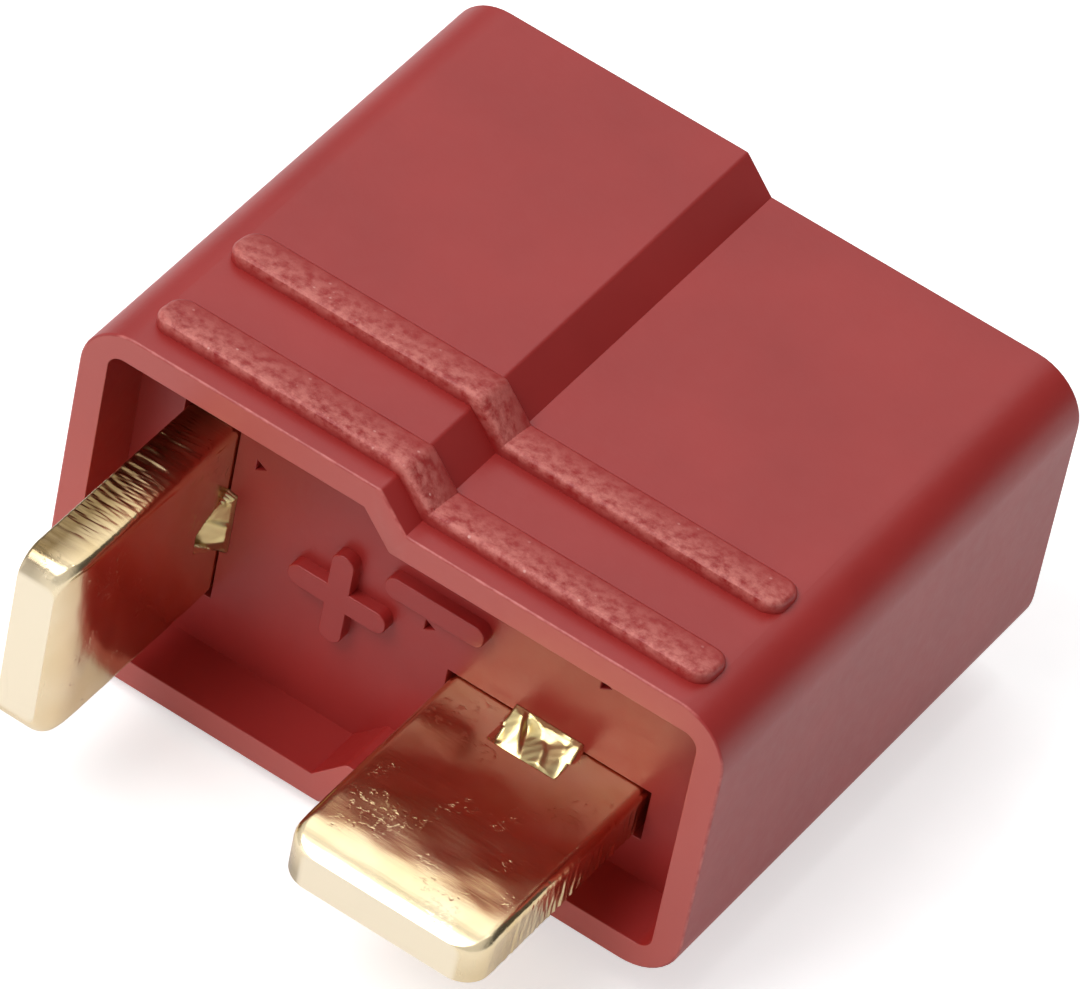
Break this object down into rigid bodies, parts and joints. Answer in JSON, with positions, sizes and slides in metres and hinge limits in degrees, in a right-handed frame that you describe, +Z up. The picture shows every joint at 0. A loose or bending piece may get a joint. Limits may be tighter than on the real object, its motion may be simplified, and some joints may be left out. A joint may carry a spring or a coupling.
{
  "type": "battery lead connector socket",
  "caption": "Flat-blade battery lead socket: stepped red housing with grip ribs, a shallow solder cup, gold solder tabs set at right angles and slots for the plug's blades",
  "frame": {"origin": "centre of the bounding box in X and Y, and its bottom in Z, where the lower grip ribs rest", "axes": "+Z up, +X from the thick half to the thin half, +Y from the solder tabs to the mating face, along which the plug goes in"},
  "size_m": [0.016, 0.0178, 0.0099],
  "materials": {
    "housing_nylon": "satin moulded red nylon",
    "contact_gold": "gold plated copper alloy",
    "spring_steel": "bare stainless spring strip"
  },
  "bodies": {
    "root": {"housing": "housing_nylon", "positive_contact": "contact_gold", "negative_contact": "contact_gold", "positive_spring": "spring_steel", "negative_spring": "spring_steel"}
  },
  "joints": []
}
